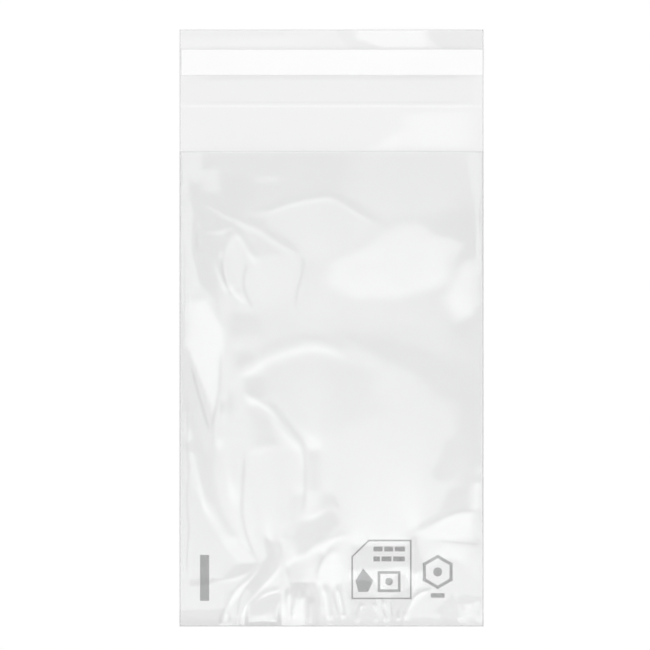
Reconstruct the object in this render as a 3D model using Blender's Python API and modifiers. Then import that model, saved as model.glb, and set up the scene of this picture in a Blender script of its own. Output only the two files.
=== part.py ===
"""Self-seal plastic bag, lying flat with its mouth a little open.

One sheet of clear film is folded at the foot of the bag and joined along both side edges. The wall
underneath runs on past the mouth as the closing flap, which carries a band of adhesive under a white
release strip.

Frame: metres, +Z up, +Y from the foot of the bag to the free edge of the flap. The origin is the middle
of the bag's footprint, on the surface that it lies on.
"""

import math

import bmesh
import bpy
import numpy as np

MM = 0.001

# Film
BAG_WIDTH = 150.0 * MM
BODY_LENGTH = 234.5 * MM  # foot fold to the lip of the upper wall
FLAP_LENGTH = 60.0 * MM  # lip to the free edge of the flap
FILM_THICKNESS = 0.05 * MM

# Plain form of the upper wall, over the lower one
FOOT_HEIGHT = 3.2 * MM  # how high it comes up from the foot fold
FOOT_RISE = 9.0 * MM  # distance over which it does most of that
STEADY_LEAN = 1.8  # degrees by which it goes on rising, as far as the lip
SIDE_REACH = 52.0 * MM  # distance from a side edge at which it is at its full height
SIDE_CALM = 4.0 * MM  # strip beside each side edge in which the folds die out
LEAST_GAP = 0.2 * MM  # clear height that no groove presses away

# Flap
FLAP_CREASE = 23.8 * MM  # lip to the crease across the flap
CREASE_HEIGHT = 0.4 * MM
CREASE_WIDTH = 1.6 * MM

# Closure
RELEASE_WIDTH = 13.0 * MM
RELEASE_THICKNESS = 0.08 * MM
RELEASE_MARGIN = 9.6 * MM  # free edge of the flap to the release strip
ADHESIVE_WIDTH = 8.0 * MM
ADHESIVE_THICKNESS = 0.04 * MM
LAYER_GAP = 0.05 * MM  # between film, adhesive and release strip

# Mesh resolution
COLUMNS = 52
BODY_ROWS = 56
ROW_CROWDING = 1.25  # above 1 the rows crowd towards the foot, where the gathers are
LEVEL_ROWS = 240  # even rows over which the facets are levelled
CREASE_SAMPLES = 18

# Places that follow from the sizes above
TOTAL_LENGTH = BODY_LENGTH + FLAP_LENGTH
FOOT_Y = -TOTAL_LENGTH / 2
LIP_Y = FOOT_Y + BODY_LENGTH
FLAP_EDGE_Y = TOTAL_LENGTH / 2

# Facets of the upper wall, which are stretches of film that lean along the bag. Above zero degrees the film
# rises towards the lip. Outlines run through points given as shares of the bag's width, from its left edge,
# and of the body's length, from the foot. A later facet lies over an earlier one.
FACETS = (
    # (lean, outline)
    (2.6, ((0.54, 1.01), (1.01, 1.01), (1.01, 0.87), (0.69, 0.85), (0.54, 0.91))),
    (3.4, ((0.27, 0.86), (0.48, 0.89), (0.63, 0.83), (0.46, 0.77))),
    (4.0, ((0.24, 0.78), (0.40, 0.77), (0.37, 0.71), (0.27, 0.68))),
    (4.3, ((0.50, 0.77), (0.79, 0.85), (0.94, 0.80), (0.88, 0.72), (0.72, 0.69), (0.53, 0.69))),
    (3.9, ((0.93, 0.77), (1.01, 0.78), (1.01, 0.65), (0.90, 0.66))),
    (0.3, ((0.15, 0.66), (0.40, 0.66), (1.01, 0.59), (1.01, 0.33), (0.93, 0.33), (0.92, 0.43), (0.78, 0.48),
            (0.74, 0.55), (0.56, 0.60), (0.20, 0.58))),
    (-0.5, ((0.52, 0.62), (0.66, 0.61), (1.01, 0.54), (1.01, 0.46), (0.86, 0.48))),
    (4.7, ((0.03, 0.78), (0.07, 0.78), (0.13, 0.65), (0.03, 0.65))),
    (8.7, ((0.03, 0.65), (0.13, 0.65), (0.14, 0.54), (0.10, 0.41), (0.02, 0.59))),
    (-1.3, ((0.01, 0.56), (0.19, 0.19), (0.15, 0.19), (0.10, 0.27))),
    (1.1, ((0.23, 0.51), (0.54, 0.57), (0.69, 0.47), (0.47, 0.39))),
    (-1.3, ((0.23, 0.46), (0.27, 0.46), (0.33, 0.38), (0.24, 0.38))),
    (2.4, ((0.54, 0.41), (0.68, 0.44), (0.76, 0.53), (0.90, 0.44), (0.81, 0.31), (0.88, 0.27), (0.76, 0.19),
           (0.54, 0.19), (0.48, 0.34))),
    (-1.1, ((0.87, 0.39), (0.90, 0.40), (0.91, 0.31), (0.84, 0.31))),
    (-1.7, ((0.93, 0.51), (1.01, 0.54), (1.01, 0.33), (0.93, 0.26))),
    (-1.9, ((0.42, 0.37), (0.46, 0.37), (0.47, 0.27), (0.43, 0.24))),
    (-3.8, ((0.40, 0.24), (0.50, 0.25), (0.52, 0.22), (0.38, 0.15))),
    (6.2, ((0.79, 0.19), (0.91, 0.24), (1.01, 0.24), (1.01, 0.19))),
    (2.9, ((0.80, 0.17), (1.01, 0.17), (1.01, 0.10), (0.82, 0.11))),
    (-4.6, ((0.76, 0.20), (0.80, 0.12), (0.77, 0.11), (0.74, 0.14))),
    (-1.0, ((0.56, 0.17), (0.75, 0.17), (0.75, 0.13), (0.56, 0.12))),
    (-3.3, ((0.13, 0.13), (0.25, 0.13), (0.23, 0.11), (0.13, 0.10))),
    (-4.8, ((0.28, 0.19), (0.31, 0.15), (0.19, 0.01), (0.16, 0.01), (0.29, 0.15))),
    (-3.2, ((0.36, 0.09), (0.44, 0.09), (0.46, 0.01), (0.37, 0.01))),
    (5.9, ((0.52, 0.16), (0.52, 0.08), (0.49, 0.08), (0.47, 0.11))),
    (-4.0, ((0.70, 0.06), (0.76, 0.08), (0.74, 0.01), (0.70, 0.01))),
    (-5.5, ((0.90, 0.07), (0.92, 0.05), (0.91, 0.01), (0.83, 0.03))),
)
FACET_BLEND = 4.0 * MM  # strip over which a facet runs into the film round it
ACROSS_WEIGHT = 0.06  # pull of the film across the bag, against its lean along it

# Long folds, on top of the facets, through points given in the same shares
FOLDS = (
    # (height, half width, points)
    (0.5 * MM, 3.0 * MM, ((0.16, 0.84), (0.15, 0.76), (0.22, 0.68))),
    (0.3 * MM, 5.2 * MM, ((0.17, 0.50), (0.27, 0.58), (0.44, 0.62), (0.62, 0.54))),
    (0.6 * MM, 3.2 * MM, ((0.17, 0.50), (0.14, 0.36), (0.18, 0.26), (0.25, 0.15))),
    (0.5 * MM, 3.0 * MM, ((0.14, 0.48), (0.11, 0.42), (0.13, 0.37))),
    (0.5 * MM, 3.0 * MM, ((0.02, 0.46), (0.05, 0.34), (0.10, 0.22))),
    (0.5 * MM, 3.0 * MM, ((0.38, 0.14), (0.46, 0.16), (0.57, 0.20))),
    (0.5 * MM, 3.0 * MM, ((0.34, 0.21), (0.37, 0.16), (0.36, 0.11))),
    (0.6 * MM, 3.0 * MM, ((0.93, 0.01), (0.93, 0.05), (0.90, 0.09))),
)

# Short gathers that stand up from the foot fold
GATHERS_START = 0.30  # shares of the bag's width
GATHERS_END = 0.66
GATHER_COUNT = 6
GATHER_HEIGHT = 0.7 * MM
GATHER_HALF_WIDTH = 3.0 * MM
GATHER_LENGTHS = (26.0 * MM, 34.0 * MM, 21.0 * MM)  # used in turn
GATHER_LEAN = 5.0 * MM


def clear_scene():
    """Removes whatever the scene holds."""
    for item in list(bpy.data.objects):
        bpy.data.objects.remove(item)


def make_material(name, colour, roughness, alpha=1.0):
    """A Principled material of one colour."""
    material = bpy.data.materials.new(name)
    material.use_nodes = True
    shader = material.node_tree.nodes["Principled BSDF"]
    shader.inputs["Base Color"].default_value = (*colour, 1.0)
    shader.inputs["Roughness"].default_value = roughness
    shader.inputs["Metallic"].default_value = 0.0
    shader.inputs["Alpha"].default_value = alpha
    return material


def on_bag(across, along):
    """The plan position of a point given as shares of the bag's width and the body's length."""
    return (across - 0.5) * BAG_WIDTH, FOOT_Y + along * BODY_LENGTH


def smooth_line(points):
    """Points along the Bezier curve that the given points control."""
    degree = len(points) - 1
    line = []
    for step in range(CREASE_SAMPLES + 1):
        t = step / CREASE_SAMPLES
        weights = [
            math.comb(degree, k) * t**k * (1 - t) ** (degree - k) for k in range(degree + 1)
        ]
        line.append([sum(w * p[axis] for w, p in zip(weights, points)) for axis in (0, 1)])
    return np.array(line)


def fold_relief(plan, line, height, half_width):
    """How high a fold along a line lifts each plan point. It fades at both ends and to both sides."""
    nearest = np.full(len(plan), np.inf)
    place = np.zeros(len(plan))
    for step in range(len(line) - 1):
        start, run = line[step], line[step + 1] - line[step]
        t = np.clip((plan - start) @ run / (run @ run), 0, 1)
        distance = np.hypot(*(plan - start - t[:, None] * run).T)
        closer = distance < nearest
        nearest[closer] = distance[closer]
        place[closer] = (step + t[closer]) / (len(line) - 1)
    fade = np.sqrt(np.sin(math.pi * np.clip(place, 0.0, 1.0)).clip(0))
    return height * fade * np.exp(-((nearest / half_width) ** 2))


def gather_lines():
    """The lines of the short gathers, fanned along the foot fold."""
    lines = []
    for index in range(GATHER_COUNT):
        share = index / (GATHER_COUNT - 1)
        x, y = on_bag(GATHERS_START + share * (GATHERS_END - GATHERS_START), 0)
        length = GATHER_LENGTHS[index % len(GATHER_LENGTHS)]
        lean = GATHER_LEAN * (0.5 - share)
        lines.append(smooth_line(((x, y), (x + lean, y + length / 2), (x - lean, y + length))))
    return lines


def outline_distance(plan, outline):
    """Distance of each plan point from an outline, above zero inside it."""
    nearest = np.full(len(plan), np.inf)
    inside = np.zeros(len(plan), bool)
    for start, end in zip(outline, np.roll(outline, -1, axis=0)):
        run = end - start
        t = np.clip((plan - start) @ run / (run @ run), 0, 1)
        nearest = np.minimum(nearest, np.hypot(*(plan - start - t[:, None] * run).T))
        passes = (start[1] > plan[:, 1]) != (end[1] > plan[:, 1])
        inside ^= passes & (plan[:, 0] < start[0] + (plan[:, 1] - start[1]) * run[0] / (run[1] or 1.0))
    return np.where(inside, nearest, -nearest)


def facet_slopes(plan, plain_slopes):
    """The slope along the bag that the facets ask for at each plan point."""
    slopes = plain_slopes.copy()
    for lean, points in FACETS:
        outline = np.array([on_bag(*point) for point in points])
        share = np.clip(outline_distance(plan, outline) / FACET_BLEND + 0.5, 0, 1)
        share = share * share * (3 - 2 * share)
        slopes += (math.tan(math.radians(lean)) - slopes) * share
    return slopes


def level(slopes, row_step, column_step):
    """The surface whose slopes along the bag come nearest, held down at the foot and at both side edges."""
    rows, columns = slopes.shape
    along = np.diff(np.eye(rows + 1), axis=0)[:, 1:] / row_step
    across = np.diff(np.eye(columns), axis=0)[:, 1:-1] / column_step
    stiffness, waves = np.linalg.eigh(across.T @ across)
    pulls = (along.T @ slopes[:, 1:-1] @ waves).T
    solved = [
        np.linalg.solve(along.T @ along + ACROSS_WEIGHT * stiff * np.eye(rows), pull)
        for stiff, pull in zip(stiffness, pulls)
    ]
    heights = np.zeros((rows + 1, columns))
    heights[1:, 1:-1] = np.array(solved).T @ waves.T
    return heights


def wall_gaps():
    """The distances of even rows from the foot, and the clear height between the walls on each column there."""
    x = np.linspace(-BAG_WIDTH / 2, BAG_WIDTH / 2, COLUMNS + 1)
    along = np.linspace(0, BODY_LENGTH, LEVEL_ROWS + 1)
    from_side = np.broadcast_to(BAG_WIDTH / 2 - np.abs(x), (LEVEL_ROWS + 1, COLUMNS + 1))
    arch = np.sin(np.clip(from_side / SIDE_REACH, 0, 1) * math.pi / 2)
    rise = FOOT_HEIGHT * (1 - np.exp(-along / FOOT_RISE)) + math.tan(math.radians(STEADY_LEAN)) * along
    plain = rise[:, None] * arch

    # The facets bend the plain form, and level out among themselves.
    row_step = along[1]
    plain_slopes = np.diff(plain, axis=0) / row_step
    between = (along[1:] + along[:-1]) / 2
    plan = np.array([(across, FOOT_Y + y) for y in between for across in x])
    slopes = facet_slopes(plan, plain_slopes.ravel()).reshape(plain_slopes.shape)
    gaps = plain + level(slopes - plain_slopes, row_step, x[1] - x[0])

    # The folds and the gathers lie on top.
    plan = np.array([(across, FOOT_Y + y) for y in along for across in x])
    relief = np.zeros(len(plan))
    for height, half_width, points in FOLDS:
        line = smooth_line([on_bag(*point) for point in points])
        relief += fold_relief(plan, line, height, half_width)
    for line in gather_lines():
        relief += fold_relief(plan, line, GATHER_HEIGHT, GATHER_HALF_WIDTH)
    gaps += relief.reshape(gaps.shape)

    # Both walls meet along the side edges, and elsewhere no groove presses them together.
    calm = np.clip(from_side / SIDE_CALM, 0, 1)
    return along, np.where(from_side > 0, np.maximum(gaps * calm, LEAST_GAP), 0.0)


def sheet_rows():
    """Distances of the sheet's rows from the flap's free edge, over the fold and up to the lip."""
    crease = FLAP_LENGTH - FLAP_CREASE
    flap = [0.0, crease - CREASE_WIDTH / 2, crease, crease + CREASE_WIDTH / 2]
    body = [(row / BODY_ROWS) ** ROW_CROWDING * BODY_LENGTH for row in range(BODY_ROWS + 1)]
    down = [TOTAL_LENGTH - height for height in reversed(body)]
    up = [TOTAL_LENGTH + height for height in body[1:]]
    return flap + down + up


def make_film():
    """The bag's film: a flat sheet, folded at the foot and joined along the body's side edges."""
    rows = sheet_rows()
    gap_rows, gaps = wall_gaps()
    shape = bmesh.new()
    bmesh.ops.create_grid(shape, x_segments=COLUMNS, y_segments=len(rows) - 1, size=1.0)
    verts = sorted(shape.verts, key=lambda v: (-round(v.co.y, 5), v.co.x))
    across = COLUMNS + 1
    for index, vert in enumerate(verts):
        along = rows[index // across]
        vert.co.x *= BAG_WIDTH / 2
        vert.co.y = FLAP_EDGE_Y - along if along <= TOTAL_LENGTH else along + FOOT_Y - TOTAL_LENGTH
        on_crease = abs(along - (FLAP_LENGTH - FLAP_CREASE)) < FILM_THICKNESS
        vert.co.z = FILM_THICKNESS + (CREASE_HEIGHT if on_crease else 0.0)
        if along > TOTAL_LENGTH:
            vert.co.z += np.interp(along - TOTAL_LENGTH, gap_rows, gaps[:, index % across])
    # The side edges of the upper wall lie on those of the lower one, and join there.
    edge = [v for v in shape.verts if abs(abs(v.co.x) - BAG_WIDTH / 2) < FILM_THICKNESS]
    bmesh.ops.remove_doubles(shape, verts=edge, dist=FILM_THICKNESS / 2)
    mesh = bpy.data.meshes.new("bag_film")
    shape.to_mesh(mesh)
    shape.free()
    mesh.shade_smooth()
    film = bpy.data.objects.new("bag_film", mesh)
    # The sheet's faces look into the bag, so the film's thickness goes to their other side, outwards.
    wall = film.modifiers.new("film_thickness", "SOLIDIFY")
    wall.thickness = FILM_THICKNESS
    wall.offset = -1.0
    wall.use_even_offset = False
    return film


def make_strip(name, width, thickness, centre_y, underside):
    """A flat strip across the whole flap, from one side edge to the other."""
    bpy.ops.mesh.primitive_cube_add(size=1.0)
    strip = bpy.context.active_object
    strip.name = strip.data.name = name
    for vert in strip.data.vertices:
        vert.co.x *= BAG_WIDTH
        vert.co.y *= width
        vert.co.z *= thickness
    strip.location = (0.0, centre_y, underside + thickness / 2)
    return strip


def main():
    clear_scene()
    bag = bpy.data.collections.new("self_seal_bag")
    bpy.context.scene.collection.children.link(bag)

    film = make_film()
    film.data.materials.append(make_material("clear_film", (0.86, 0.87, 0.88), 0.12, 0.25))
    bag.objects.link(film)

    closure_y = FLAP_EDGE_Y - RELEASE_MARGIN - RELEASE_WIDTH / 2
    adhesive_z = FILM_THICKNESS + LAYER_GAP
    release_z = adhesive_z + ADHESIVE_THICKNESS + LAYER_GAP
    strips = (
        (
            make_strip("adhesive_strip", ADHESIVE_WIDTH, ADHESIVE_THICKNESS, closure_y, adhesive_z),
            make_material("clear_adhesive", (0.90, 0.89, 0.86), 0.35, 0.5),
        ),
        (
            make_strip("release_strip", RELEASE_WIDTH, RELEASE_THICKNESS, closure_y, release_z),
            make_material("white_release_film", (0.95, 0.95, 0.95), 0.30),
        ),
    )
    for strip, material in strips:
        strip.data.materials.append(material)
        for holder in list(strip.users_collection):
            holder.objects.unlink(strip)
        bag.objects.link(strip)


main()
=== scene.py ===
"""Dresses the self-seal bag for the camera: clear film with its folds, strip, adhesive, print and studio.

The film lies flat and is seen from above. Its upper wall is one height field, worked out from leaning
facets that are levelled into one surface, with narrow folds on top. Every size is in millimetres until
a mesh is made, and every point on the bag is given from its left edge and its foot.
"""

import logging
import math
from dataclasses import dataclass, field
from enum import Enum

import bpy
import numpy as np
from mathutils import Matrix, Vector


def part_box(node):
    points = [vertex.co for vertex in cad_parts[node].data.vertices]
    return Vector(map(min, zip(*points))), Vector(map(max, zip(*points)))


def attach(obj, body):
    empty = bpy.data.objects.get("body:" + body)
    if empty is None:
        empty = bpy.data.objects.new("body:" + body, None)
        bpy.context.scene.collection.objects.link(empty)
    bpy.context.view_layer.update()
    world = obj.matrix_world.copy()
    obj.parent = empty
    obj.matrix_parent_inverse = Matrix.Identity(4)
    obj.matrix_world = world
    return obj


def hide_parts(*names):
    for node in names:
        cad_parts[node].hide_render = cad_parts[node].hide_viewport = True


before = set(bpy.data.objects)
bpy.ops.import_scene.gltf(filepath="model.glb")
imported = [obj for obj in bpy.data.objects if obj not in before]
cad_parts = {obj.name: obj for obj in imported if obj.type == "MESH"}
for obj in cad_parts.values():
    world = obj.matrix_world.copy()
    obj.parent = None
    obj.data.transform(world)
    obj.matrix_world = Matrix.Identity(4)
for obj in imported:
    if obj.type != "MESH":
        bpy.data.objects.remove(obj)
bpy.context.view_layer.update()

LOG = logging.getLogger("bag")

MM = 0.001
Point = tuple[float, float]
Path = tuple[Point, ...]
Colour = tuple[float, float, float]


class Slot(Enum):
    """The material slots of the record."""

    FILM = "clear_film"
    ADHESIVE = "clear_adhesive"
    RELEASE = "white_release_film"


class Side(Enum):
    """The two long sides of the bag."""

    LEFT = "left"
    RIGHT = "right"


@dataclass(frozen=True)
class Facet:
    """A patch of film that leans along the bag.

    lean is in degrees and is above 0 where the film falls towards the foot. blend is the width of its
    soft border.
    """

    lean: float
    blend: float
    outline: Path


@dataclass(frozen=True)
class Fold:
    """A narrow ridge of the film.

    skew widens the flank on the left of its run when above 0. taper is the share of its length that
    each end takes to die out.
    """

    height: float
    half_width: float
    skew: float
    taper: float
    path: Path


@dataclass(frozen=True)
class CreaseShade:
    """A line of painted shade, where the film's colour is drawn darker along a crease. depth is from 0 to 1.
    """

    depth: float
    half_width: float
    path: Path


@dataclass(frozen=True)
class PaintedReflection:
    """A patch of painted dark reflection, where the film's colour is drawn dimmer. depth is from 0 to 1."""

    depth: float
    blend: float
    outline: Path


# Features of the upper wall, in the order in which they are laid
BODY_FACETS: tuple[Facet, ...] = (
    Facet(-2.3, 3, ((74.5, 7.5), (155, 7.5), (155, -3), (74.5, -3))),
    Facet(0.6, 2, ((50.5, 6), (74.5, 6), (74.5, -3), (50.5, -3))),
    Facet(1.4, 6, ((-0.5, 236.5), (152, 236.5), (152, 215.5), (108.5, 212.5), (74.5, 215.5), (54.5, 212),
        (30, 204), (-0.5, 208.5))),
    Facet(2.3, 6, ((84, 236.5), (152, 236.5), (152, 203.5), (128.5, 204), (104, 200), (81.5, 212.5))),
    Facet(0.1, 3, ((20.5, 222.5), (35, 220.5), (38, 209.5), (33, 203), (23, 208))),
    Facet(3.7, 2.5, ((9.5, 224.5), (19.5, 226.5), (20.5, 214), (11.5, 214))),
    Facet(-3.1, 2, ((0.5, 221.5), (7, 220.5), (10.5, 211.5), (20, 211), (21, 208), (8.5, 209.5),
        (1, 211.5))),
    Facet(3.1, 1.6, ((38, 222), (50.5, 222), (49.5, 219), (38, 219))),
    Facet(0.4, 2, ((10.5, 207), (21, 203.5), (23, 199), (13.5, 197.5))),
    Facet(1.3, 3, ((1, 208.5), (6.5, 207), (9.5, 197), (8.5, 186), (2.5, 186))),
    Facet(2.5, 6, ((41, 202), (55.5, 207.5), (72, 210), (81.5, 205), (95, 195), (84, 186), (68.5, 180),
        (59.5, 187), (50.5, 196))),
    Facet(1.1, 3, ((33, 195), (43, 193), (53.5, 185), (38, 182))),
    Facet(0.8, 2, ((32.5, 202.5), (44, 203), (41, 196.5), (33, 198))),
    Facet(2.8, 3, ((36, 182), (49.5, 183), (59.5, 180), (55.5, 166), (45.5, 158.5), (38, 161.5))),
    Facet(4.6, 2, ((23, 193), (29, 193), (29, 180), (30, 166), (33, 160.5), (26, 166), (24, 180))),
    Facet(1.5, 3, ((10.5, 185), (17, 186), (20, 169), (28, 158.5), (20, 155.5), (13.5, 166))),
    Facet(4.2, 5, ((74.5, 180), (93, 188), (101.5, 195), (111, 198), (118.5, 198.5), (124.5, 193),
        (135.5, 191), (141, 188), (134.5, 180), (132.5, 169), (108.5, 161.5), (84, 161.5),
        (72.5, 168.5))),
    Facet(5.6, 7, ((140, 180), (151, 183), (151, 153.5), (136, 150.5), (131.5, 161.5))),
    Facet(1.1, 5, ((57.5, 182), (68.5, 180), (68.5, 161.5), (57.5, 155.5))),
    Facet(1.1, 6, ((23, 154.5), (59.5, 155.5), (74.5, 152.5), (108.5, 149.5), (152, 139.5), (152, 77),
        (139, 77), (138, 102), (117.5, 113), (110.5, 128.5), (84, 140.5), (59.5, 145.5), (30, 136.5))),
    Facet(-0.2, 7, ((78, 144.5), (99, 143.5), (123.5, 135.5), (151, 125.5), (151, 107), (128.5, 113),
        (116.5, 124.5), (96.5, 133.5))),
    Facet(0.9, 4, ((32, 152.5), (59.5, 150.5), (74.5, 142.5), (52.5, 141.5), (33, 133.5), (27, 141.5))),
    Facet(-0.4, 2.5, ((24, 154.5), (38, 154.5), (41, 144.5), (25, 142.5))),
    Facet(5.5, 2.5, ((3.5, 184), (7.5, 183), (10.5, 170), (17, 161.5), (19, 150.5), (3.5, 150.5))),
    Facet(8.6, 3, ((4, 159.5), (12.5, 161.5), (20, 148.5), (21.5, 139), (21, 125.5), (18.5, 112),
        (15, 97), (10.5, 113), (5.5, 128.5), (3.5, 139))),
    Facet(-1.8, 2, ((1.5, 130.5), (3.5, 129.5), (8.5, 112), (13.5, 92), (17, 72), (22, 56.5), (29, 44.5),
        (23, 44.5), (14.5, 62.5), (7.5, 87), (2.5, 112))),
    Facet(-0.4, 2, ((22, 153.5), (25.5, 146.5), (24, 128.5), (20, 111), (16, 95), (17, 102))),
    Facet(0.3, 6, ((35, 120.5), (45, 128.5), (64.5, 133.5), (81.5, 132.5), (95, 125.5), (104, 111),
        (101, 105), (81.5, 97), (70.5, 92), (61.5, 97), (47.5, 110))),
    Facet(-1.8, 2.5, ((31, 122.5), (41, 123.5), (43, 114), (35, 113))),
    Facet(-0.9, 2, ((26, 135.5), (35, 136.5), (36, 131.5), (28, 126.5))),
    Facet(1.8, 2, ((95.5, 119.5), (104.5, 119.5), (105, 111), (99.5, 109))),
    Facet(-1.3, 3, ((34, 108.5), (41, 108), (45.5, 102), (49, 89), (36, 88))),
    Facet(-0.2, 2, ((44, 111), (51.5, 106), (60.5, 94), (63.5, 86), (59.5, 89), (51.5, 98))),
    Facet(0.5, 3, ((35, 84), (47.5, 87), (58.5, 86), (59.5, 71), (55.5, 57.5), (51.5, 51.5), (36, 53.5),
        (33.5, 68.5))),
    Facet(0.8, 3, ((36, 57.5), (49.5, 58.5), (48.5, 45.5), (43, 38.5), (38, 43.5))),
    Facet(1.4, 3, ((74.5, 87), (81, 95), (90, 99.5), (102, 103), (104.5, 106.5), (107, 113),
        (110.5, 121.5), (114.5, 124.5), (117.5, 119.5), (118.5, 111.5), (129, 106.5), (134.5, 105),
        (135.5, 100), (132.5, 94), (129, 88.5), (126.5, 82), (123, 78), (122, 72), (126.5, 70),
        (132, 68.5), (132.5, 64.5), (127.5, 58.5), (120.5, 55), (115.5, 52), (113.5, 45.5), (84, 44.5),
        (76, 48.5), (72.5, 60), (72, 79.5))),
    Facet(1.6, 4, ((105, 77), (121, 78), (122, 71), (131.5, 67.5), (128.5, 60.5), (114.5, 52.5),
        (105, 56.5))),
    Facet(0.4, 2.5, ((132.5, 110), (137, 107), (139, 92), (139, 72), (137, 60.5), (133.5, 58.5),
        (136, 69.5), (134.5, 92), (136, 100))),
    Facet(-1.1, 2, ((130.5, 92), (135.5, 93), (136.5, 73), (132, 71), (126.5, 72), (124.5, 76),
        (128.5, 82))),
    Facet(-3, 5, ((140, 119.5), (151, 125.5), (151, 77), (147, 77), (144, 62.5), (139, 60), (141, 77))),
    Facet(-3.1, 3, ((62.5, 87), (69.5, 87), (70.5, 62.5), (64.5, 56.5), (61.5, 72))),
    Facet(-4.6, 3, ((58.5, 51.5), (65.5, 52.5), (75, 57.5), (78, 52), (72.5, 44.5), (62.5, 36.5),
        (57.5, 34.5), (56, 45))),
    Facet(6.3, 1.6, ((145, 71), (151, 72), (151, 56.5), (145, 57.5))),
    Facet(1.9, 1.4, ((145.5, 80), (149, 79), (149, 73), (145, 74))),
    Facet(2.9, 2.4, ((118.5, 45.5), (123.5, 49.5), (130.5, 53), (137, 55.5), (151, 56.5), (151, 43.5),
        (128.5, 43), (120.5, 42.5))),
    Facet(-2.6, 1.6, ((114.5, 47.5), (120.5, 51.5), (128.5, 55.5), (136, 59.5), (143, 61.5), (144, 58.5),
        (131.5, 55), (122.5, 51), (117, 46.5))),
    Facet(2, 2.5, ((119.5, 40), (128.5, 39), (151, 39), (151, 23), (131.5, 23), (122.5, 26.5))),
    Facet(-5.6, 2, ((114, 47.5), (117.5, 44.5), (118.5, 36.5), (120.5, 28.5), (115.5, 25.5),
        (112.5, 32.5))),
    Facet(-2.5, 3, ((84, 40), (112.5, 40), (112.5, 29.5), (84, 27.5))),
    Facet(2.4, 3, ((86, 25.5), (112.5, 28.5), (113.5, 17), (86, 16))),
    Facet(3.9, 3, ((3.5, 87), (9.5, 85), (11.5, 62.5), (18, 47.5), (3.5, 47.5))),
    Facet(0.8, 3, ((3.5, 49.5), (19, 47.5), (33, 34.5), (36, 32), (20, 31.5), (3.5, 24))),
    Facet(5.9, 1.4, ((3, 107), (5, 106), (7, 92), (3.5, 90))),
    Facet(-4.8, 1.8, ((20, 30), (27, 31), (38, 31), (34, 26.5), (25, 23.5), (19, 23.5))),
    Facet(-5.6, 1.4, ((4.5, 23), (13.5, 24), (21, 23.5), (13.5, 21), (6.5, 20))),
    Facet(-1.5, 2, ((4, 18.5), (17, 20.5), (32, 23.5), (27, 17), (20, 10), (12.5, 9), (4.5, 10.5))),
    Facet(-6.2, 2, ((1.5, 7.5), (13.5, 7.5), (21, 8.5), (20, -3), (1.5, -3))),
    Facet(-6.7, 1.6, ((42, 44.5), (46, 41.5), (47, 34.5), (44, 26.5), (37, 18), (32, 10), (29, -3),
        (24, -3), (27.5, 11), (32.5, 20), (39.5, 28.5), (43, 34.5))),
    Facet(-0.3, 1.4, ((41, 31.5), (38, 25.5), (31, 19), (25.5, 11), (24, -3), (20.5, -3), (21.5, 12),
        (28, 21), (36, 27))),
    Facet(-1.1, 1.4, ((46.5, 45.5), (50, 39.5), (51, 31.5), (45.5, 23), (37, 14), (32, -3), (29.5, -3),
        (33, 13), (40, 22), (46, 29.5), (48, 36.5))),
    Facet(-2.2, 2, ((52.5, 28.5), (59.5, 34), (68.5, 38), (71.5, 34.5), (66.5, 23), (54.5, 22))),
    Facet(-6.4, 1.4, ((35, 9), (40, 14), (47.5, 17), (51, 15), (48.5, 9), (41, 6), (36, 6))),
    Facet(2.6, 1.4, ((49.5, 16), (51.5, 19), (54, 21), (54, 10), (51, -3), (49, -3))),
    Facet(-5.7, 1.6, ((54.5, 22), (66.5, 22), (69.5, 15), (69.5, -3), (61.5, -3), (61.5, 13), (59, 18),
        (57, 11), (54.5, 5))),
    Facet(1, 1.4, ((59, 18), (61.5, 14), (62, -3), (56, -3), (57, 14))),
    Facet(4.6, 1.8, ((72.5, 31.5), (75, 36), (78, 36.5), (79.5, 29.5), (78.5, 19), (73, 18), (71, 24.5))),
    Facet(-3.9, 1.6, ((82.5, 18), (97, 16), (97, 10), (84, 10))),
    Facet(-2.5, 1.6, ((84, 9), (96, 9.5), (97, -3), (85, -3))),
    Facet(-6.3, 1.8, ((104.5, 15), (114.5, 19.5), (112, 11), (111, -3), (105, -3))),
    Facet(-0.5, 1.6, ((113, 9), (117, 15.5), (123.5, 18), (132.5, 17.5), (131, 12), (124.5, 8.5),
        (118.5, -3), (112, -3))),
    Facet(-7, 1.6, ((131.5, 13), (134.5, 16), (137.5, 12), (137, -3), (132, -3), (128.5, 6.5), (125, 7))),
    Facet(2.8, 1.5, ((136.5, 19.5), (139.5, 14.5), (143, 11), (147, 13), (149.5, 8), (149, -3),
        (138.5, -3), (138, 10))),
    Facet(-4, 1.2, ((137, 18.5), (142, 19), (145.5, 13), (142, 11), (138.5, 14))),
    Facet(3.1, 1.6, ((145, 32.5), (149.5, 34.5), (149.5, 14), (147, 15), (143, 21))),
    Facet(-0.3, 2.5, ((54.5, 65.5), (76, 66.5), (79, 59), (73.5, 58.5), (59.5, 52.5), (55, 47.5))),
    Facet(-1.9, 2, ((132, 68.5), (144, 67.5), (143.5, 60), (133.5, 55.5), (128.5, 56.5))),
)

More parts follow.
